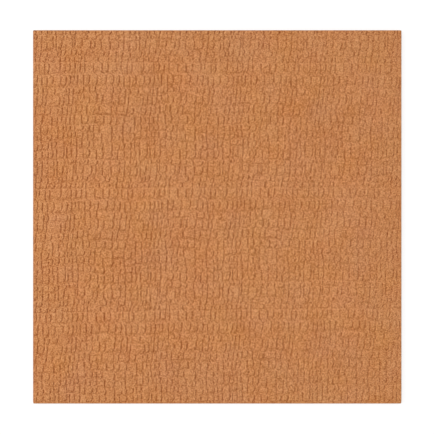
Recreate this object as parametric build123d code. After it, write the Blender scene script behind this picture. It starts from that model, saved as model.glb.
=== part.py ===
"""Cork wall panel: one sheet of agglomerated cork, pressed on its front and cut square to size.

Millimetres, +Z up. The panel lies on its back: X runs across it from left to right, Y runs up it as
it hangs on a wall, and Z runs from the glued back to the front. The origin is the middle of the back.
"""

import os

from build123d import *

# Driving dimensions
PANEL_WIDTH = 300.0
PANEL_HEIGHT = 304.0
PANEL_THICKNESS = 6.0  # from the sanded back to the tops of the pressed relief

# Eased edges, as left by the cutting knife and by handling
CORNER_RADIUS = 0.8  # the four corners, seen from the front
FRONT_ARRIS_RADIUS = 0.5  # the rim between the front and the cut edges

NODE_NAME = "cork_panel"


def cut_outline():
    """The knife's outline: a rectangle with barely eased corners."""
    return RectangleRounded(PANEL_WIDTH, PANEL_HEIGHT, CORNER_RADIUS)


def cork_panel():
    """The sheet: the outline through the full thickness, its front rim eased and its back rim sharp."""
    sheet = extrude(cut_outline(), amount=PANEL_THICKNESS)
    front_face = sheet.faces().sort_by(Axis.Z)[-1]
    return fillet(front_face.edges(), radius=FRONT_ARRIS_RADIUS)


def main():
    os.makedirs("parts", exist_ok=True)
    panel = cork_panel()
    panel.label = NODE_NAME
    export_step(panel, os.path.join("parts", f"{NODE_NAME}.step"))
    print(f"{NODE_NAME}: {panel.volume / 1000.0:.1f} cm3")


main()
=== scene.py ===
"""Cork wall panel: its pressed front, its cut edges, its sanded back, the floor and the light.

Metres, +Z up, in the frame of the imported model. The panel lies on its back: X runs across it, Y runs
up it as it hangs on a wall, and Z runs from its back to its front.
"""

import math

import bpy
import numpy as np
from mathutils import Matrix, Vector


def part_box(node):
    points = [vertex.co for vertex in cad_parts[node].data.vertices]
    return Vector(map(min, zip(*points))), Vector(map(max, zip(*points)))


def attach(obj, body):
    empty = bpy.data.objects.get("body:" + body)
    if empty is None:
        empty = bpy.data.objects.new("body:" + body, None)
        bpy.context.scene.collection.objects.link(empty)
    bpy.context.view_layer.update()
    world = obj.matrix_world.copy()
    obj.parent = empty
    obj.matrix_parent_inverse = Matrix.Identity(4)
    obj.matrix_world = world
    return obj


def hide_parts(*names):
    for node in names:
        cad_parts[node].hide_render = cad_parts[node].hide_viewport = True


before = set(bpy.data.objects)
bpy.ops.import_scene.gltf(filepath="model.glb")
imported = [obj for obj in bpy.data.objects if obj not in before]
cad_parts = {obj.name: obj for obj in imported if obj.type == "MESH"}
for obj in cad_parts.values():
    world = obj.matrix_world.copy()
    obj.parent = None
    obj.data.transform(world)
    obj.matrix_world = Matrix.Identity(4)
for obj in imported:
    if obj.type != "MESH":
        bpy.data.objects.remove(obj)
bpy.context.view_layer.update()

MM = 0.001

# The sheet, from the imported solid
PANEL_NODE = "cork_panel"
panel_low, panel_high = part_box(PANEL_NODE)
WIDTH = panel_high.x - panel_low.x
HEIGHT = panel_high.y - panel_low.y
THICKNESS = panel_high.z - panel_low.z
MIDDLE_X = 0.5 * (panel_low.x + panel_high.x)
MIDDLE_Y = 0.5 * (panel_low.y + panel_high.y)
BACK_Z = panel_low.z

# Eased edges
ARRIS = 0.5 * MM  # radius of the rim between the front and the cut edges
CORNER_RADIUS = 0.8 * MM  # seen from the front
CORNER_PULL = CORNER_RADIUS * (1.0 - math.sqrt(0.5))  # an eased corner's shortfall along each axis

# The die: upright slits and level joints, pressed again and again across and up the sheet
SEED = 75
DIE_COLUMNS = MM * np.array([4.3, 3.7, 3.5, 3.8, 5.0, 5.0, 5.2, 5.7, 6.4, 6.2, 4.4, 4.6, 4.6, 4.5])
DIE_COURSES = MM * np.array([8.6, 6.4, 6.9, 6.8, 8.6, 8.1, 9.1, 6.3, 8.8, 8.1, 6.2, 4.4, 7.9, 4.1])
DIE_SHAPE = (len(DIE_COLUMNS), len(DIE_COURSES))
DIE_START_X = 46.0 * MM  # from the die's first slit to the front's left edge
DIE_START_Y = 2.0 * MM  # from the die's first joint to the front's lower edge
LEAST_GAP = 1.0 * MM  # from a cut edge to the next line
PRESS_LEFT, PRESS_RIGHT = 1.20, 0.76  # strength of the press at the two sides of the sheet

# Share of its sideways moves that each slit of the die makes
DIE_STRAY = np.array([1.0, 1.0, 1.0, 1.0, 1.0, 0.9, 0.9, 0.8, 1.0, 0.7, 0.7, 0.8, 1.0, 1.0])

# Strength of the light band along each joint of the die: the stronger it is, the more level it runs
DIE_BANDS = np.array([0.6, 0.2, 0.2, 0.2, 0.4, 0.2, 0.2, 0.2, 0.2, 0.6, 1.0, 0.3, 0.2, 0.2])
LOOSE_JOINT = 1.1  # the moves of a joint go with this, less the strength of its band

# Places of the slits from course to course
LEAST_CELL = 1.4 * MM  # width that the slits' own moves leave to a cell
SLIT_HOLD = 0.15  # share of the slits that keep their place from one course to the next
COURSE_SHIFT = 2.0 * MM  # the most that a whole course shifts sideways
COURSE_HOLD = 0.5  # share of the courses that keep the shift of the course below
EDGE_EASE = 4.2 * MM  # from a cut edge, within which the slits fall into line with it

# Run of a slit within its course
SLIT_BOW = 0.8 * MM  # the most that a slit is bowed, with its foot to the left
SLIT_LEAN = 0.10 * MM  # spread of the sideways run from foot to head
HOOK_SHARE = 0.50  # of the slits, whose foot hooks to the left, under the cell there
HOOK_REACH = 0.30  # of the width of that cell
LEAST_HOOK = 0.4  # of that reach

# Strength and section of the slits
SLIT_BREAKS = (0.06, 0.35, 0.80)  # share of faint slits, their most strength, the least of the rest
LEAST_FOOT, LEAST_HEAD = 0.75, 0.80  # of a slit's strength
HOOKED_FOOT = 0.6  # of the strength of a foot, where it hooks
SHORT_SHARE = 0.05  # of the slits, that lack their lower half, and as many their upper half
LACKING_HALF = 0.1  # of a slit's strength, in a half that it lacks
MOST_BRIDGE = 0.25  # of a slit's strength, across a joint
BRIDGE_STEP = 0.6 * MM  # step aside over which that strength falls off
SLIT_DEPTH = 0.95 * MM
SLIT_SHOULDER, MOST_SHOULDER = 0.46 * MM, 0.16  # from a slit, and the most of a column's width
SLIT_RIM, MOST_RIM = 1.30 * MM, 0.36  # from a slit, and the most of a column's width
SHOULDER_DROP = 0.15  # of the slit's depth

# Places of the joints
JOINT_STEP = 5.00 * MM  # spread of the step of a joint from one column to the next
JOINT_ROOM = 0.30  # the most of the shorter course beside a joint that the step may take
CALM_STEP = 2.0 * MM  # a joint whose two slits step aside by this much in all moves half as far
HOOK_CALM = 1.5  # how much more a hook counts there
COURSE_DRIFT = 1.6 * MM  # spread of the slow rise and fall of the courses
DRIFT_REACH = (2.5, 3.0)  # in columns and courses
DRIFT_EASE = 14.0 * MM  # from a cut edge, within which the courses fall into line with it

# Sills and cells
SILL_BREAKS = (0.50, 0.15, 0.50)  # share of faint sills, their most strength, the least of the rest
SILL_DEPTH = 0.43 * MM  # of the groove along the foot of a cell, painted darker by its depth as a slit is
CELL_DROP = 0.10 * MM  # spread of the heights of the cells
CELL_ROUND = 0.08 * MM  # fall of a cell from its middle to its outline
GRAIN_DROP = 0.03 * MM  # spread of the fall from point to point

# Painted shade of the relief, from 0 in a deep slit to 1 on the painted highlight of a rim
CELL_SHADE = 0.5
CELL_TONE = 0.012  # spread from cell to cell
SLIT_SHADE = 0.40  # painted shade lost in a slit of full depth
RIM_HIGHLIGHT = 0.10  # painted highlight gained on the rim beside a slit
BAND_LIGHTENING = 0.13  # lightening gained along the strongest band
LEAST_BAND = 0.5  # of a band's strength, where it is weakest
EDGE_SHADE = 0.03  # painted shade lost along the cut edges
EDGE_FADE = 1.6 * MM  # from a cut edge, over which that loss fades

# Warp of the relief: terms of its moves, in the shares of half the sheet to the right and up
WARP_X = {
    "right": 0.0,
    "up": 0.3 * MM,
    "right_right": -1.6 * MM,
    "up_up": 0.3 * MM,
    "right_up": 3.1 * MM,
}
WARP_Y = {
    "right": 1.0 * MM,
    "up": 0.0,
    "right_right": -0.5 * MM,
    "up_up": 2.9 * MM,
    "right_up": -2.2 * MM,
}
WARP_EASE = 6  # power of those shares with which the warp dies away at a cut edge
MEAN_SQUARE = 1.0 / 3.0  # of a share that runs evenly from -1 to 1

# Mesh lines of a column: slit, shoulder, rim, middle, rim, shoulder
LINES = 6
LINE_ROUND = np.array([1.0, 0.8, 0.3, 0.0, 0.3, 0.8])  # fall of a cell
LINE_SILL = np.array([0.2, 0.5, 1.0, 1.0, 1.0, 0.9])  # depth of a cell's own sill
LINE_HOOK = np.array([0.0, 0.0, 0.2, 0.6, 0.8, 0.6])  # depth of the hook from the slit on its right
LINE_STEP = [0.20, 0.60]  # share of the step from slit to middle, at the shoulder and the rim

# Mesh rows of a course: joint, foot, low, high, head
ROWS = 5
ROW_PLACES = np.array([0.0, 0.21, 0.42, 0.66, 0.91])  # of the height of the course
ROW_BOW = np.array([0.0, -0.75, 0.05, 0.25, -0.1])  # of a slit's bow, to the right
ROW_LEAN = np.array([0.0, -0.4, -0.14, 0.14, 0.4])  # of a slit's lean, to the right
ROW_HOOK = np.array([0.0, 1.0, 0.2, 0.0, 0.0])  # of a slit's hook, to the left
ROW_SILL = np.array([0.0, 1.0, 0.1, 0.0, 0.0])  # depth of a sill
ROW_BAND = np.array([1.0, 0.0, 0.0, 0.0, 0.1])  # lightening of the band along a joint
ROW_ROUND = np.array([0.3, 1.0, 0.0, 0.0, 0.6])  # fall of a cell
JOINT_LANE = 0.30  # share of its step aside to the next course that a slit has made at the joint


def die_lines(gaps, start, length):
    """Lines of the repeated die over a length, from minus half of it to plus half, and each line's
    number in the die: the running sum of the die's gaps, less the start. The cut edges take the place
    of the outermost lines."""
    repeats = 2 + int(length / gaps.sum())
    lines = np.append(0.0, np.cumsum(np.tile(gaps, repeats))) - start
    inside = np.flatnonzero((lines > LEAST_GAP) & (lines < length - LEAST_GAP))
    kept = np.arange(inside[0] - 1, inside[-1] + 2)
    places = lines[kept]
    places[[0, -1]] = 0.0, length
    return places - 0.5 * length, kept % len(gaps)


SLIT_LINES, SLIT_NUMBERS = die_lines(DIE_COLUMNS, DIE_START_X, WIDTH - 2.0 * ARRIS)
JOINT_LINES, JOINT_NUMBERS = die_lines(DIE_COURSES, DIE_START_Y, HEIGHT - 2.0 * ARRIS)
COLUMNS = len(SLIT_LINES) - 1
COURSES = len(JOINT_LINES) - 1


def by_slit(values):
    """Values over the die's columns and courses, repeated over the sheet's slits and courses."""
    return values[np.ix_(SLIT_NUMBERS, JOINT_NUMBERS[:-1])]


def by_column(values):
    """Values over the die's columns and courses, repeated over the sheet's columns and courses."""
    return by_slit(values)[:-1]


def by_joint(values):
    """Values over the die's columns and courses, repeated over the sheet's columns and joints."""
    return values[np.ix_(SLIT_NUMBERS[:-1], JOINT_NUMBERS)]


def smooth_field(rng, shape, reach):
    """Normal noise on a grid that closes on itself, averaged along each axis under a bell curve of the
    given reach, with its spread brought back to one."""
    field = rng.standard_normal(shape)
    for axis, (count, bell) in enumerate(zip(shape, reach)):
        steps = np.arange(count)
        apart = np.abs(steps[:, None] - steps[None, :])
        weights = np.exp(-0.5 * (np.minimum(apart, count - apart) / bell) ** 2)
        field = np.moveaxis(np.tensordot(weights, field, (1, axis)), 0, axis)
    return field / field.std()


def broken_strength(rng, faint_share, faint, strong):
    """Strength of the die's slits or sills: a random rank, whose lowest share rises from 0 to faint,
    and whose rest rises from strong to 1."""
    rank = rng.random(DIE_SHAPE)
    low = faint * rank / faint_share
    high = strong + (1.0 - strong) * (rank - faint_share) / (1.0 - faint_share)
    return np.where(rank < faint_share, low, high)


def along_rows(by_course, upper=0.5):
    """Values by course carried to the mesh rows: a course's own value inside it, and on a joint the
    mean of the courses below and above it, or another share of the upper one."""
    rows = np.arange(ROWS * COURSES + 1)
    below = np.maximum(rows - 1, 0) // ROWS
    above = np.minimum(rows // ROWS, COURSES - 1)
    return (1.0 - upper) * by_course[:, below] + upper * by_course[:, above]


def down_rows(shaped):
    """Values over slit, course and mesh row of the course as one array over slit and row, with none on
    the last row."""
    return np.pad(shaped.reshape(len(shaped), -1), ((0, 0), (0, 1)))


def held(rng, fresh, share):
    """Values by course, of which a share give way to the value of the course below."""
    moved = np.arange(fresh.shape[-1]) * (rng.random(fresh.shape) > share)
    return np.take_along_axis(fresh, np.maximum.accumulate(moved, axis=-1), axis=-1)


def slit_lanes(rng):
    """X of every slit in every course: the die's line, moved sideways by a random share of half the
    room that the narrower column beside it leaves, and shifted with its whole course. Some slits and
    some courses keep their move from the course below. Each slit of the die makes its own share of
    both moves, and near a cut edge they are less."""
    room = 0.5 * (np.minimum(DIE_COLUMNS, np.roll(DIE_COLUMNS, 1)) - LEAST_CELL)
    shift = room[:, None] * held(rng, rng.uniform(-1.0, 1.0, DIE_SHAPE), SLIT_HOLD)
    shift += held(rng, COURSE_SHIFT * rng.uniform(-1.0, 1.0, DIE_SHAPE[1]), COURSE_HOLD)
    from_edge = SLIT_LINES[-1] - np.abs(SLIT_LINES)
    ease = np.minimum(from_edge / EDGE_EASE, 1.0)[:, None]
    return SLIT_LINES[:, None] + ease * by_slit(DIE_STRAY[:, None] * shift)


def slit_hooks(rng, lanes):
    """Reach of every slit's hook in every course: a share of the width of the cell on its left, for a
    share of the slits."""
    is_hooked = rng.random(DIE_SHAPE) < HOOK_SHARE
    hooked = by_slit(np.where(is_hooked, rng.uniform(LEAST_HOOK, 1.0, DIE_SHAPE), 0.0))
    hooked[[0, -1]] = 0.0
    return HOOK_REACH * hooked * np.diff(lanes, axis=0, prepend=lanes[:1])


def slit_places(rng, lanes, hooks):
    """X of every slit on every mesh row: its lane, bowed so that its foot turns to the left, most slits
    little and a few much, leaning, and hooked further to the left at its foot."""
    bow = by_slit(SLIT_BOW * rng.random(DIE_SHAPE) ** 2)
    lean = by_slit(SLIT_LEAN * rng.standard_normal(DIE_SHAPE))
    shaped = bow[:, :, None] * ROW_BOW + lean[:, :, None] * ROW_LEAN - hooks[:, :, None] * ROW_HOOK
    shaped[[0, -1]] = 0.0
    return along_rows(lanes, JOINT_LANE) + down_rows(shaped)


def slit_strengths(rng, lanes, hooks):
    """Strength of every slit on every mesh row: its own, less at its foot and head, almost none in a
    half that is lacking. On a joint it falls off as a bell curve of the slit's step aside, so that
    such a slit is bridged."""
    strength = by_slit(broken_strength(rng, *SLIT_BREAKS))
    strength[[0, -1]] = 0.0
    foot = by_slit(rng.uniform(LEAST_FOOT, 1.0, DIE_SHAPE)) * np.where(hooks > 0.0, HOOKED_FOOT, 1.0)
    head = by_slit(rng.uniform(LEAST_HEAD, 1.0, DIE_SHAPE))
    lacking = by_slit(rng.random(DIE_SHAPE))
    low = np.where(lacking < SHORT_SHARE, LACKING_HALF, 1.0)
    high = np.where(lacking > 1.0 - SHORT_SHARE, LACKING_HALF, 1.0)
    step = np.diff(lanes, axis=1, prepend=lanes[:, :1]) / BRIDGE_STEP
    bridge = by_slit(rng.uniform(0.0, MOST_BRIDGE, DIE_SHAPE)) * np.exp(-(step**2))
    bridge[:, 0] = 0.0
    rows = np.stack([bridge, foot * low, low, high, head * high], axis=2)
    return down_rows(strength[:, :, None] * rows)


def joint_places(rng, lanes, hooks):
    """Y of every joint in every column: the die's line, a slow rise and fall, and a step at each slit.
    The hyperbolic tangent keeps the step within its room. A joint moves less where its band is strong
    or the slits beside it step aside or hook, and the cut edges stay straight."""
    drift = COURSE_DRIFT * smooth_field(rng, DIE_SHAPE, DRIFT_REACH)
    step = JOINT_STEP * rng.standard_normal(DIE_SHAPE)
    loose = LOOSE_JOINT - DIE_BANDS
    gaps = np.diff(JOINT_LINES)
    room = JOINT_ROOM * np.minimum(gaps[:-1], gaps[1:])
    aside = np.abs(np.diff(lanes, axis=1)) + HOOK_CALM * hooks[:, 1:]
    calm = 1.0 / (1.0 + (aside[:-1] + aside[1:]) / CALM_STEP)
    steps = calm * room * np.tanh(by_joint(step * loose)[:, 1:-1] / room)
    from_edge = JOINT_LINES[-1] - np.abs(JOINT_LINES[1:-1])
    ease = np.minimum(from_edge / DRIFT_EASE, 1.0)
    places = np.repeat(JOINT_LINES[:, None], COLUMNS, axis=1)
    places[1:-1] += (steps + ease * by_joint(drift * loose)[:, 1:-1]).T
    return places


def by_line(lines, last):
    """Arrays over column and row, one for each mesh line of a column, and the last slit's row, as one
    array over row and line."""
    stacked = np.stack(lines, axis=1)
    return np.vstack([stacked.reshape(LINES * COLUMNS, -1), last[None]]).T


def by_cell(values):
    """Values over column and row as an array over row and line: a cell's own value on its lines, and on
    a slit the mean of the cells on its left and right."""
    left = np.vstack([values[:1], values[:-1]])
    return by_line([0.5 * (left + values)] + [values] * (LINES - 1), values[-1])


def by_step(values):
    """Values over column and row as an array over row and line: a cell's own value on its middle, on a
    slit the mean of the cells on its left and right, and between them the shares of the step that the
    shoulder and the rim take."""
    left_mean = 0.5 * (np.vstack([values[:1], values[:-1]]) + values)
    right_mean = 0.5 * (values + np.vstack([values[1:], values[-1:]]))
    from_left = [left_mean + share * (values - left_mean) for share in LINE_STEP]
    from_right = [right_mean + share * (values - right_mean) for share in LINE_STEP]
    return by_line([left_mean] + from_left + [values] + from_right[::-1], values[-1])


def front_x(places):
    """X over row and line: each slit, then the shoulders and rims beside it, which draw in where a
    column is narrow, and the middle between the rims."""
    left, right = places[:-1], places[1:]
    shoulder = np.minimum(SLIT_SHOULDER, MOST_SHOULDER * (right - left))
    rim = np.minimum(SLIT_RIM, MOST_RIM * (right - left))
    middle = 0.5 * (left + right)
    lines = [left, left + shoulder, left + rim, middle, right - rim, right - shoulder]
    return by_line(lines, right[-1])


def front_y(joints):
    """Y over row and line: each course's rows at fixed places between the joints below and above it."""
    course = np.repeat(np.arange(COURSES), ROWS)
    place = np.tile(ROW_PLACES, COURSES)[:, None]
    y = joints[course] + place * (joints[course + 1] - joints[course])
    return by_step(np.vstack([y, joints[-1:]]).T)


def warp_move(warp, right, up):
    """A quadratic in the shares of half the sheet to the right and up, with no mean over the sheet."""
    squares = warp["right_right"] * (right**2 - MEAN_SQUARE) + warp["up_up"] * (up**2 - MEAN_SQUARE)
    return squares + warp["right_up"] * right * up + warp["right"] * right + warp["up"] * up


def warped(x, y):
    """X and y moved by the warp, which dies away towards the cut edges as one less a power of the share
    of half the sheet."""
    right, up = x / SLIT_LINES[-1], y / JOINT_LINES[-1]
    warped_x = x + (1.0 - np.abs(right) ** WARP_EASE) * warp_move(WARP_X, right, up)
    warped_y = y + (1.0 - np.abs(up) ** WARP_EASE) * warp_move(WARP_Y, right, up)
    return warped_x, warped_y


def slit_depths(strength):
    """Depth of the slits over row and line: full on a slit, a share on its shoulders, none between the
    rims."""
    left, right = strength[:-1], strength[1:]
    share, none = SHOULDER_DROP, np.zeros_like(left)
    return SLIT_DEPTH * by_line([left, share * left, none, none, none, share * right], right[-1])


def rim_highlight(strength):
    """Painted highlight over row and line: on the rims alone, by the strength of the slit beside them.
    """
    left, right = strength[:-1], strength[1:]
    none = np.zeros_like(left)
    return by_line([none, none, left, none, right, none], none[-1])


def at_joints(values):
    """Values over column and joint carried to the mesh rows nearest to each joint."""
    rows = np.arange(ROWS * COURSES + 1)
    return values[:, (rows + ROWS // 2) // ROWS]


def row_shares(shares):
    """Shares of the rows of one course, repeated over all courses, and the first again for the last
    row."""
    return np.append(np.tile(shares, COURSES), shares[0])[:, None]


def sill_strengths(rng, hooks):
    """Strength of the sills over row and line: the cell's own, or that of the hook that the slit on its
    right ends in, whichever is more."""
    own = along_rows(by_column(broken_strength(rng, *SILL_BREAKS)))
    hooked = along_rows((hooks[1:] > 0.0).astype(float))
    lines = [np.maximum(sill * own, hook * hooked) for sill, hook in zip(LINE_SILL, LINE_HOOK)]
    return row_shares(ROW_SILL) * by_line(lines, 0.0 * own[-1])


def band_lightening(rng):
    """Lightening over row and line on the bands along the joints: some bands are lighter than others,
    and each is lighter in some columns."""
    lightening = by_joint(rng.uniform(LEAST_BAND, 1.0, DIE_SHAPE) * DIE_BANDS)
    lightening[:, [0, -1]] = 0.0
    return row_shares(ROW_BAND) * by_cell(at_joints(lightening))


def cell_fall(rng):
    """Fall of the cells over row and line: each cell's own, as the size of a normal draw, and the
    larger of its roundings across and up towards its outline."""
    fall = by_cell(along_rows(np.abs(by_column(rng.standard_normal(DIE_SHAPE)))))
    across = np.append(np.tile(LINE_ROUND, COLUMNS), 1.0)[None, :]
    return CELL_DROP * fall + CELL_ROUND * np.maximum(across, row_shares(ROW_ROUND))


def edge_loss(x, y):
    """Painted shade lost along the cut edges, as a bell curve of the distance from the nearest."""
    from_edge = np.minimum(SLIT_LINES[-1] - np.abs(x), JOINT_LINES[-1] - np.abs(y))
    return EDGE_SHADE * np.exp(-((from_edge / EDGE_FADE) ** 2))


def pressed_front(rng):
    """The relief over row and line: x, y, depth below the highest point, and shade, with painted shade
    in the slits and sills and a painted highlight on the rims beside the slits. Slits and sills join as
    the cube root of the sum of their cubes, and the press weakens evenly from left to right."""
    lanes = slit_lanes(rng)
    hooks = slit_hooks(rng, lanes)
    even_x = front_x(slit_places(rng, lanes, hooks))
    even_y = front_y(joint_places(rng, lanes, hooks))
    x, y = warped(even_x, even_y)
    strength = slit_strengths(rng, lanes, hooks)
    press = np.interp(x, SLIT_LINES[[0, -1]], [PRESS_LEFT, PRESS_RIGHT])
    sills = SILL_DEPTH * sill_strengths(rng, hooks)
    cut = press * np.cbrt(slit_depths(strength) ** 3 + sills**3)
    depth = cut + cell_fall(rng) + GRAIN_DROP * np.abs(rng.standard_normal(x.shape))
    cell_tone = CELL_TONE * by_cell(along_rows(by_column(rng.standard_normal(DIE_SHAPE))))
    # A painted highlight on the rims beside the slits, and the lighter bands along the joints
    lightening = press * (RIM_HIGHLIGHT * rim_highlight(strength) + BAND_LIGHTENING * band_lightening(rng))
    # Painted shade: darker in the slits and sills by their depth, lighter on the rims and bands, with
    # the cells' own tone
    shade = CELL_SHADE + cell_tone + lightening - SLIT_SHADE * np.minimum(cut / SLIT_DEPTH, 1.0)
    # The painted shade along the cut edges is taken off the shade here
    return x, y, depth - depth.min(), np.clip(shade - edge_loss(x, y), 0.0, 1.0)


# Edge and back mesh
ARRIS_ANGLES = np.radians([35.0, 65.0, 90.0])  # of the rings round the arris
WALL_PLACES = np.array([0.68, 0.36])  # of the height below the arris
WALL_CRUMBLE = 0.12 * MM  # the most that the wall crumbles inwards
BACK_CELLS = 30  # along each side
BACK_INSET = 3.0 * MM  # from the cut edges to those cells


def grid_of(first, rows, lines):
    """Vertex indices counted from first, row by row."""
    return first + np.arange(rows * lines).reshape(rows, lines)


def rim_of(grid):
    """A grid's outer indices, anticlockwise from its lower left corner, side by side: bottom, right,
    top, left."""
    return [grid[0, :-1], grid[:-1, -1], grid[-1, :0:-1], grid[:0:-1, 0]]


def quads_of(grid):
    """Four-sided faces between neighbours in a grid, anticlockwise where its rows run up and its lines
    run right."""
    corners = [grid[:-1, :-1], grid[:-1, 1:], grid[1:, 1:], grid[1:, :-1]]
    return np.stack(corners, axis=-1).reshape(-1, 4)


def edge_rings(rng, rim, side_counts):
    """Rings of the cut edge from the front's outline down to the back. The arris is a quarter round:
    its offset goes with the sine and its drop with the versed sine of the angle. The wall below it
    crumbles inwards."""
    outward = np.array([[0.0, -1.0], [1.0, 0.0], [0.0, 1.0], [-1.0, 0.0]])
    corners = np.cumsum([0] + side_counts[:-1])
    direction = np.repeat(outward, side_counts, axis=0)
    direction[corners] += np.roll(outward, 1, axis=0)
    reach = np.full((len(rim), 1), ARRIS)
    reach[corners] -= CORNER_PULL
    sine = np.sin(ARRIS_ANGLES)[:, None, None]
    drop = ARRIS * (1.0 - np.cos(ARRIS_ANGLES))[:, None]
    arris_flat = rim[:, :2] + sine * reach * direction
    arris_height = rim[:, 2] - drop
    crumble = WALL_CRUMBLE * rng.random((len(WALL_PLACES), len(rim), 1))
    wall_flat = arris_flat[-1] - crumble * direction
    wall_height = BACK_Z + WALL_PLACES[:, None] * (arris_height[-1] - BACK_Z)
    foot_height = np.full((1, len(rim)), BACK_Z)
    flat = np.concatenate([arris_flat, wall_flat, arris_flat[-1:]])
    height = np.concatenate([arris_height, wall_height, foot_height])
    return np.concatenate([flat, height[:, :, None]], axis=2)


def back_grid():
    """The flat back's inner vertices: an even grid, set in from the cut edges."""
    across = np.linspace(-0.5, 0.5, BACK_CELLS + 1)
    x, y = np.meshgrid(across * (WIDTH - 2.0 * BACK_INSET), across * (HEIGHT - 2.0 * BACK_INSET))
    return np.stack([MIDDLE_X + x, MIDDLE_Y + y, np.full_like(x, BACK_Z)], axis=-1)


def zipped_faces(outer_sides, inner_sides):
    """Triangles between a fine outer loop and a coarse inner loop: each outer segment reaches the inner
    vertex that lies as far along the same side, and a second triangle fills each step to the next inner
    vertex."""
    outer = np.concatenate(outer_sides)
    inner = np.concatenate(inner_sides)
    starts = np.cumsum([0] + [len(side) for side in inner_sides[:-1]])
    match = np.concatenate([
        start + np.arange(len(fine)) * len(coarse) // len(fine)
        for start, fine, coarse in zip(starts, outer_sides, inner_sides)
    ])
    following, next_match = np.roll(outer, -1), np.roll(match, -1)
    fans = np.column_stack([following, outer, inner[match]])
    steps = np.column_stack([following, inner[match], inner[next_match]])[match != next_match]
    return np.concatenate([fans, steps])


# Map of the panel's skin for baking, in shares of its side: the front, a small back and four strips
FRONT_SCALE = 0.80 / WIDTH
BACK_SCALE = 0.18 / WIDTH
MAP_MARGIN = 0.005
FRONT_CORNER = (MAP_MARGIN, MAP_MARGIN)
BACK_CORNER = (1.0 - MAP_MARGIN - BACK_SCALE * WIDTH, MAP_MARGIN)
STRIP_START = 0.84
STRIP_PITCH = 0.038
STRIP_HEIGHT = 0.030
EDGE_CORNERS = [1.0, 1.0, 0.0, 0.0]  # which corners of an edge's face lie on its lower ring


def from_corner(points, faces):
    """X and y of the corners of faces, from the panel's lower left corner."""
    corner_points = points[faces.ravel()]
    across = corner_points[:, 0] - (MIDDLE_X - 0.5 * WIDTH)
    up = corner_points[:, 1] - (MIDDLE_Y - 0.5 * HEIGHT)
    return across, up


def front_map(points, faces):
    """Map of the front: x and y, scaled."""
    across, up = from_corner(points, faces)
    return np.column_stack([FRONT_CORNER[0] + FRONT_SCALE * across, FRONT_CORNER[1] + FRONT_SCALE * up])


def back_map(points, faces):
    """Map of the back: x from the right and y, scaled."""
    across, up = from_corner(points, faces)
    from_right = WIDTH - across
    return np.column_stack([BACK_CORNER[0] + BACK_SCALE * from_right, BACK_CORNER[1] + BACK_SCALE * up])


def strip_map(points, faces, side, ring):
    """Map of the cut edges: along each side by x or y, and across it by the ring's place between rim
    and back."""
    across, up = from_corner(points, faces)
    corner_side = np.repeat(side, len(EDGE_CORNERS))
    along = np.where(corner_side % 2 == 0, across, up)
    corner_ring = np.repeat(ring, len(EDGE_CORNERS)) + np.tile(EDGE_CORNERS, len(faces))
    down = corner_ring / (ring.max() + 1)
    return np.column_stack([
        MAP_MARGIN + FRONT_SCALE * along,
        STRIP_START + STRIP_PITCH * corner_side + STRIP_HEIGHT * (1.0 - down),
    ])


def add_mesh_object(name, points, faces):
    """A mesh object at the origin from points and faces."""
    mesh = bpy.data.meshes.new(name)
    mesh.from_pydata(points, [], faces)
    made = bpy.data.objects.new(name, mesh)
    bpy.context.scene.collection.objects.link(made)
    return made


# Places of the finishes on the panel
PRESSED, CUT, SANDED = range(3)


def pressed_cork_panel(materials):
    """The whole sheet as one closed skin: the pressed front, the eased rim and crumbled edges, and the
    back. The uppermost ring of the rim has the front's finish."""
    rng = np.random.default_rng(SEED)
    x, y, depth, shade = pressed_front(rng)
    front_height = BACK_Z + THICKNESS - depth
    front = np.stack([MIDDLE_X + x, MIDDLE_Y + y, front_height], axis=-1).reshape(-1, 3)
    front_grid = grid_of(0, *x.shape)
    front_faces = quads_of(front_grid)

    rim_sides = rim_of(front_grid)
    rim = np.concatenate(rim_sides)
    side_counts = [len(side) for side in rim_sides]
    rings = edge_rings(rng, front[rim], side_counts)
    ring_grid = grid_of(len(front), *rings.shape[:2])
    loops = np.vstack([rim, ring_grid])
    closed = np.hstack([loops, loops[:, :1]])
    edge_faces = quads_of(closed[::-1])
    edge_side = np.tile(np.repeat(np.arange(len(rim_sides)), side_counts), len(rings))
    edge_ring = np.repeat(np.arange(len(rings))[::-1], len(rim))

    inner = back_grid()
    inner_grid = grid_of(len(front) + ring_grid.size, *inner.shape[:2])
    foot_sides = np.split(ring_grid[-1], np.cumsum(side_counts)[:-1])
    seam_faces = zipped_faces(foot_sides, rim_of(inner_grid))
    back_faces = quads_of(inner_grid)[:, ::-1]

    points = np.concatenate([front, rings.reshape(-1, 3), inner.reshape(-1, 3)])
    faces = front_faces.tolist() + edge_faces.tolist() + seam_faces.tolist() + back_faces.tolist()
    panel = add_mesh_object("pressed_cork_panel", points.tolist(), faces)
    mesh = panel.data

    finish = np.concatenate([
        np.full(len(front_faces), PRESSED),
        np.where(edge_ring == 0, PRESSED, CUT),
        np.full(len(seam_faces) + len(back_faces), SANDED),
    ])
    mesh.polygons.foreach_set("material_index", finish)
    mesh.polygons.foreach_set("use_smooth", finish != SANDED)
    for material in materials:
        mesh.materials.append(material)

    # The painted shade and tone of the front, carried down the arris rings, and the even middle on the
    # back
    shades = np.concatenate([
        shade.ravel(),
        np.tile(shade.ravel()[rim], len(rings)),
        np.full(inner_grid.size, CELL_SHADE),
    ])
    mesh.attributes.new("painted_shade_and_tone", "FLOAT", "POINT").data.foreach_set("value", shades)

    skin_map = np.concatenate([
        front_map(points, front_faces),
        strip_map(points, edge_faces, edge_side, edge_ring),
        back_map(points, seam_faces),
        back_map(points, back_faces),
    ])
    mesh.uv_layers.new(name="OFBake").data.foreach_set("uv", skin_map.ravel())
    mesh.update()
    return panel


# Finishes, as linear colours
# The first colour is the painted shade deep in a slit, which the darkest granules also reach towards
SLIT_SHADE_COLOUR = (0.255, 0.062, 0.009, 1.0)
CELL_COLOUR = (0.551, 0.221, 0.0765, 1.0)
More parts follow.
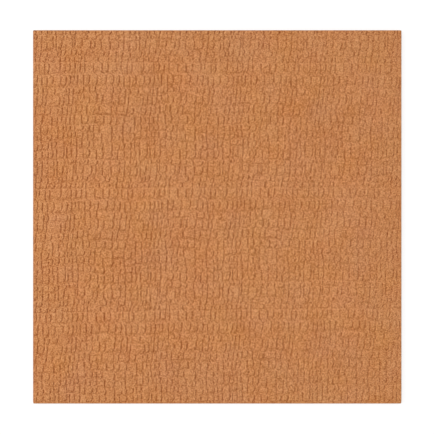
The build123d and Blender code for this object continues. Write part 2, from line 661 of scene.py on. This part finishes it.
# The last colour is the painted highlight on the rims, which the lighter bands and palest granules also
# reach towards
PALE_COLOUR = (0.750, 0.362, 0.158, 1.0)
DARK_GRANULE_COLOUR = (0.20, 0.075, 0.026, 1.0)
GRANULE_COLOUR = (0.50, 0.215, 0.088, 1.0)
PALE_GRANULE_COLOUR = (0.66, 0.34, 0.17, 1.0)
PRESSED_STOPS = [(0.0, SLIT_SHADE_COLOUR), (CELL_SHADE, CELL_COLOUR), (1.0, PALE_COLOUR)]
CUT_STOPS = [(0.0, DARK_GRANULE_COLOUR), (0.5, GRANULE_COLOUR), (1.0, PALE_GRANULE_COLOUR)]
CUT_SHADE = 0.45

# Granules: their size along x, y and z, and the swing of their shade
PRESSED_GRANULE, PRESSED_SWING = (0.5 * MM, 0.55 * MM, 0.8 * MM), 0.76
CUT_GRANULE, CUT_SWING = (1.8 * MM, 1.8 * MM, 1.4 * MM), 0.55
BACK_GRANULE, BACK_SWING = (2.2 * MM, 2.2 * MM, 2.2 * MM), 0.50

# Grain, mottling and patches of slightly redder, yellower or paler cork: size, swing and detail
GRAIN, GRAIN_SWING, GRAIN_DETAIL = 0.45 * MM, 0.10, 3.0
MOTTLE, MOTTLE_SWING, MOTTLE_DETAIL = 60.0 * MM, 0.11, 2.0
PATCH, PATCH_DETAIL = 24.0 * MM, 1.0
EVEN_HUE, HUE_SWING = 0.5, 0.008
EVEN_SATURATION, SATURATION_SWING = 1.0, 0.08

# Matte surface
LEAST_ROUGH, MOST_ROUGH = 0.78, 0.95
SHEEN = 0.25
GRANULE_RISE = -0.6  # times the distance from a granule's middle, added to the grain's height
BUMP_STRENGTH, BUMP_HEIGHT = 0.5, 0.15 * MM


def add_node(tree, kind, inputs, **settings):
    """Adds a node, applies its settings, and links or sets each of its inputs."""
    made = tree.nodes.new(kind)
    for name, value in settings.items():
        setattr(made, name, value)
    for name, value in inputs.items():
        if isinstance(value, bpy.types.NodeSocket):
            tree.links.new(value, made.inputs[name])
        else:
            made.inputs[name].default_value = value
    return made


def add_math(tree, operation, *values):
    """The result of an operation on values or sockets."""
    return add_node(tree, "ShaderNodeMath", dict(enumerate(values)), operation=operation).outputs[0]


def add_swing(tree, value, gain, base):
    """Base plus gain times the value's distance from one half."""
    off_middle = add_math(tree, "SUBTRACT", value, 0.5)
    return add_math(tree, "MULTIPLY_ADD", off_middle, gain, base)


def add_noise(tree, place, size, detail):
    """Noise with features of the given size."""
    inputs = {"Vector": place, "Scale": 1.0 / size, "Detail": detail}
    return add_node(tree, "ShaderNodeTexNoise", inputs).outputs


def add_granules(tree, place, size):
    """Close-packed granules of the given size along x, y and z, each with a colour of its own."""
    inverse = tuple(1.0 / side for side in size)
    scaled = add_node(tree, "ShaderNodeMapping", {"Vector": place, "Scale": inverse})
    return add_node(tree, "ShaderNodeTexVoronoi", {"Vector": scaled.outputs[0], "Scale": 1.0}).outputs


def add_tones(tree, colour):
    """The red, green and blue of a colour as three values."""
    return add_node(tree, "ShaderNodeSeparateColor", {"Color": colour}).outputs


def add_ramp(tree, value, stops):
    """A colour ramp with the given places and colours."""
    ramp = add_node(tree, "ShaderNodeValToRGB", {"Fac": value})
    elements = ramp.color_ramp.elements
    elements[0].position, elements[0].color = stops[0]
    elements[1].position, elements[1].color = stops[-1]
    for place, colour in stops[1:-1]:
        elements.new(place).color = colour
    return ramp.outputs["Color"]


def add_patches(tree, place, colour):
    """The colour with its hue and saturation swinging from patch to patch."""
    tones = add_tones(tree, add_noise(tree, place, PATCH, PATCH_DETAIL)["Color"])
    inputs = {
        "Color": colour,
        "Hue": add_swing(tree, tones["Red"], HUE_SWING, EVEN_HUE),
        "Saturation": add_swing(tree, tones["Green"], SATURATION_SWING, EVEN_SATURATION),
    }
    return add_node(tree, "ShaderNodeHueSaturation", inputs).outputs["Color"]


def new_material(name):
    """An empty node material with its Principled shader."""
    material = bpy.data.materials.new(name)
    material.use_nodes = True
    tree = material.node_tree
    return material, tree, tree.nodes["Principled BSDF"]


def cork_finish(name, stops, granule, granule_swing, base_of):
    """Matte cork: granules of differing tone, fine grain and slow mottling over a base shade, run
    through a ramp from dark to pale and tinted in patches. The granules and the grain are raised a
    little, and the roughness goes with the grain."""
    material, tree, shader = new_material(name)
    place = add_node(tree, "ShaderNodeTexCoord", {}).outputs["Object"]
    granules = add_granules(tree, place, granule)
    granule_tone = add_tones(tree, granules["Color"])["Red"]
    grain = add_noise(tree, place, GRAIN, GRAIN_DETAIL)["Fac"]
    mottle = add_noise(tree, place, MOTTLE, MOTTLE_DETAIL)["Fac"]

    shade = add_swing(tree, granule_tone, granule_swing, base_of(tree))
    shade = add_swing(tree, grain, GRAIN_SWING, shade)
    shade = add_swing(tree, mottle, MOTTLE_SWING, shade)
    colour = add_patches(tree, place, add_ramp(tree, shade, stops))
    tree.links.new(colour, shader.inputs["Base Color"])

    spread = {"Value": grain, "To Min": LEAST_ROUGH, "To Max": MOST_ROUGH}
    rough = add_node(tree, "ShaderNodeMapRange", spread)
    tree.links.new(rough.outputs["Result"], shader.inputs["Roughness"])
    shader.inputs["Specular IOR Level"].default_value = SHEEN

    height = add_math(tree, "MULTIPLY_ADD", granules["Distance"], GRANULE_RISE, grain)
    raised = {"Height": height, "Strength": BUMP_STRENGTH, "Distance": BUMP_HEIGHT}
    bump = add_node(tree, "ShaderNodeBump", raised)
    tree.links.new(bump.outputs["Normal"], shader.inputs["Normal"])
    return material


def painted_shade_and_tone(tree):
    """The painted shade and the cells' own tone kept with the relief's vertices."""
    return add_node(tree, "ShaderNodeAttribute", {}, attribute_name="painted_shade_and_tone").outputs["Fac"]


def even_shade(tree):
    """The shade of a cut face, which has no relief."""
    return CUT_SHADE


pressed_face = cork_finish(
    "pressed_cork_face", PRESSED_STOPS, PRESSED_GRANULE, PRESSED_SWING, painted_shade_and_tone
)
cut_edge = cork_finish("cut_cork_edge", CUT_STOPS, CUT_GRANULE, CUT_SWING, even_shade)
sanded_back = cork_finish("sanded_cork_back", CUT_STOPS, BACK_GRANULE, BACK_SWING, even_shade)

panel = pressed_cork_panel([pressed_face, cut_edge, sanded_back])
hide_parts(PANEL_NODE)
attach(panel, "root")

# Floor and light
FLOOR_SIDE = 8.0
FLOOR_GAP = 0.05 * MM  # below the panel's back
WHITE = (1.0, 1.0, 1.0, 1.0)
PALE_PAPER = (0.80, 0.80, 0.80, 1.0)
SHADED_PAPER = (0.25, 0.25, 0.25, 1.0)  # the part of the white that a shadow can take away
WORLD_LIGHT = 0.55

# Two square softboxes: their places, their power in watts, and the side of both
LEFT_SOFTBOX, LEFT_POWER = (-0.9, 0.05, 1.6), 17.6
RIGHT_SOFTBOX, RIGHT_POWER = (0.9, 0.05, 1.6), 3.0
SOFTBOX_SIDE = 1.2


def seen_by_eye(tree):
    """One for camera, glossy and transmission rays, and none for the rays that light the object."""
    path = add_node(tree, "ShaderNodeLightPath", {}).outputs
    either = add_math(tree, "MAXIMUM", path["Is Camera Ray"], path["Is Glossy Ray"])
    return add_math(tree, "MAXIMUM", either, path["Is Transmission Ray"])


def white_floor():
    """A pale floor that the eye sees as white paper and that keeps the panel's shadow."""
    half = 0.5 * FLOOR_SIDE
    level = BACK_Z - FLOOR_GAP
    corners = [(-half, -half, level), (half, -half, level), (half, half, level), (-half, half, level)]
    floor = add_mesh_object("floor", corners, [(0, 1, 2, 3)])
    material, tree, shader = new_material("white_paper")
    tree.nodes.remove(shader)
    pale = add_node(tree, "ShaderNodeBsdfDiffuse", {"Color": PALE_PAPER}).outputs[0]
    shaded = add_node(tree, "ShaderNodeBsdfDiffuse", {"Color": SHADED_PAPER}).outputs[0]
    glow = add_node(tree, "ShaderNodeEmission", {"Color": PALE_PAPER, "Strength": 1.0}).outputs[0]
    paper = add_node(tree, "ShaderNodeAddShader", {0: shaded, 1: glow}).outputs[0]
    mixed = add_node(tree, "ShaderNodeMixShader", {0: seen_by_eye(tree), 1: pale, 2: paper})
    tree.links.new(mixed.outputs[0], tree.nodes["Material Output"].inputs["Surface"])
    floor.data.materials.append(material)


def even_world():
    """An even white sky: white to the eye, and at WORLD_LIGHT for the rays that light the object."""
    world = bpy.data.worlds.new("white_studio")
    world.use_nodes = True
    tree = world.node_tree
    spread = {"Value": seen_by_eye(tree), "To Min": WORLD_LIGHT, "To Max": 1.0}
    strength = add_node(tree, "ShaderNodeMapRange", spread)
    background = tree.nodes["Background"]
    background.inputs["Color"].default_value = WHITE
    tree.links.new(strength.outputs["Result"], background.inputs["Strength"])
    bpy.context.scene.world = world


def soft_lamp(name, place, power):
    """A square softbox turned to the middle of the frame, where the panel lies."""
    lamp = bpy.data.lights.new(name, "AREA")
    lamp.size = SOFTBOX_SIDE
    lamp.energy = power
    made = bpy.data.objects.new(name, lamp)
    made.location = place
    made.rotation_euler = made.location.to_track_quat("Z", "Y").to_euler()
    made.visible_camera = False
    bpy.context.scene.collection.objects.link(made)


# The photograph's frame, in its pixels
FRAME_SIDE = 435.0
PANEL_LEFT, PANEL_RIGHT = 32.95, 401.6
PANEL_TOP, PANEL_BOTTOM = 30.15, 403.65
LENS = 120.0


def overhead_camera():
    """A long lens straight above the panel, so far up that the panel's width takes its share of the
    frame, and moved so that the panel lies where the photograph has it."""
    pixel = WIDTH / (PANEL_RIGHT - PANEL_LEFT)
    lens = bpy.data.cameras.new("camera")
    lens.lens = LENS
    distance = pixel * FRAME_SIDE * LENS / lens.sensor_width
    camera = bpy.data.objects.new("camera", lens)
    camera.location = (
        MIDDLE_X + pixel * 0.5 * (FRAME_SIDE - PANEL_LEFT - PANEL_RIGHT),
        MIDDLE_Y - pixel * 0.5 * (FRAME_SIDE - PANEL_TOP - PANEL_BOTTOM),
        BACK_Z + THICKNESS + distance,
    )
    bpy.context.scene.collection.objects.link(camera)
    bpy.context.scene.camera = camera


white_floor()
even_world()
soft_lamp("left_softbox", LEFT_SOFTBOX, LEFT_POWER)
soft_lamp("right_softbox", RIGHT_SOFTBOX, RIGHT_POWER)
overhead_camera()
bpy.context.scene.view_settings.view_transform = "Standard"
